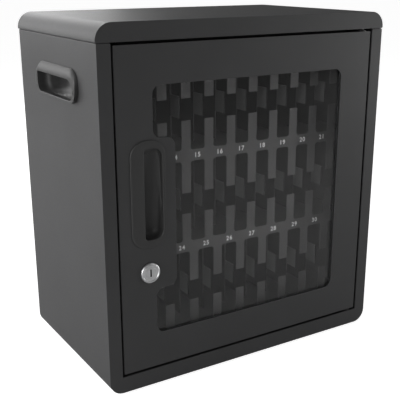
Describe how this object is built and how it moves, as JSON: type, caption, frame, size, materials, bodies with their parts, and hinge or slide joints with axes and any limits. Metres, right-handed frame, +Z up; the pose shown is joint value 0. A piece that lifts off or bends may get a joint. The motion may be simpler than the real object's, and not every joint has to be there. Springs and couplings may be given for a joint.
{
  "type": "cell phone locker box",
  "caption": "Desk-top sheet-steel locker box with a glazed lockable door, recessed pull and side hand-holds, holding a rack of upright phone slots in tiers.",
  "frame": {"origin": "on the surface the feet stand on, midway between the sides and midway between the foremost and rearmost faces", "axes": "+Z up, +X to the right seen from the front, the door faces -Y"},
  "size_m": [0.4106, 0.241, 0.435],
  "materials": {
    "powder_coat": "fine-textured dark grey powder coat",
    "rack_coat": "smooth dark grey powder coat",
    "moulding": "dark grey moulded plastic",
    "clear_pane": "clear acrylic sheet",
    "rubber": "black rubber",
    "plated_steel": "bright nickel plating",
    "zinc": "bright zinc plating",
    "nylon": "black nylon"
  },
  "bodies": {
    "cabinet": {"body_shell": "powder_coat", "top_cover": "powder_coat", "top_rail": "powder_coat", "back_panel": "powder_coat", "back_panel_screws": "zinc", "cover_screws": "zinc", "rail_screws": "zinc", "side_handle_left": "moulding", "side_handle_right": "moulding", "foot_front_left": "rubber", "foot_front_right": "rubber", "foot_rear_left": "rubber", "foot_rear_right": "rubber", "foot_screws": "zinc", "rack_side_left": "rack_coat", "rack_side_right": "rack_coat", "shelf_bottom": "rack_coat", "shelf_lower": "rack_coat", "shelf_upper": "rack_coat", "shelf_top": "rack_coat", "comb_bottom": "rack_coat", "comb_lower": "rack_coat", "comb_upper": "rack_coat", "comb_top": "rack_coat", "dividers_bottom_tier": "rack_coat", "dividers_middle_tier": "rack_coat", "dividers_top_tier": "rack_coat", "rack_screws": "zinc", "shelf_screws": "zinc", "comb_screws": "zinc", "lower_hinge_plate": "zinc", "upper_hinge_plate": "zinc", "lower_hinge_pin": "plated_steel", "upper_hinge_pin": "plated_steel", "hinge_washer": "nylon", "door_bumper_lower": "rubber", "door_bumper_upper": "rubber"},
    "door": {"door_panel": "powder_coat", "door_window": "clear_pane", "window_seal": "rubber", "retainer_top": "zinc", "retainer_bottom": "zinc", "retainer_right": "zinc", "retainer_left_upper": "zinc", "retainer_left_lower": "zinc", "retainer_nuts": "zinc", "door_pull": "moulding", "lower_hinge_bush": "nylon", "upper_hinge_bush": "nylon", "lock_housing": "plated_steel", "lock_nut": "zinc"},
    "lock": {"lock_plug": "plated_steel", "lock_cam": "zinc", "cam_screw": "zinc"}
  },
  "joints": [
    {"name": "door_hinge", "type": "hinge", "parent": "cabinet", "child": "door", "pos_m": [0.17083, -0.11155, 0.2187], "axis": [0, 0, 1], "range_deg": [0, 115]},
    {"name": "lock_turn", "type": "hinge", "parent": "door", "child": "lock", "pos_m": [-0.14363, -0.11755, 0.1494], "axis": [0, 1, 0], "range_deg": [0, 90]}
  ]
}
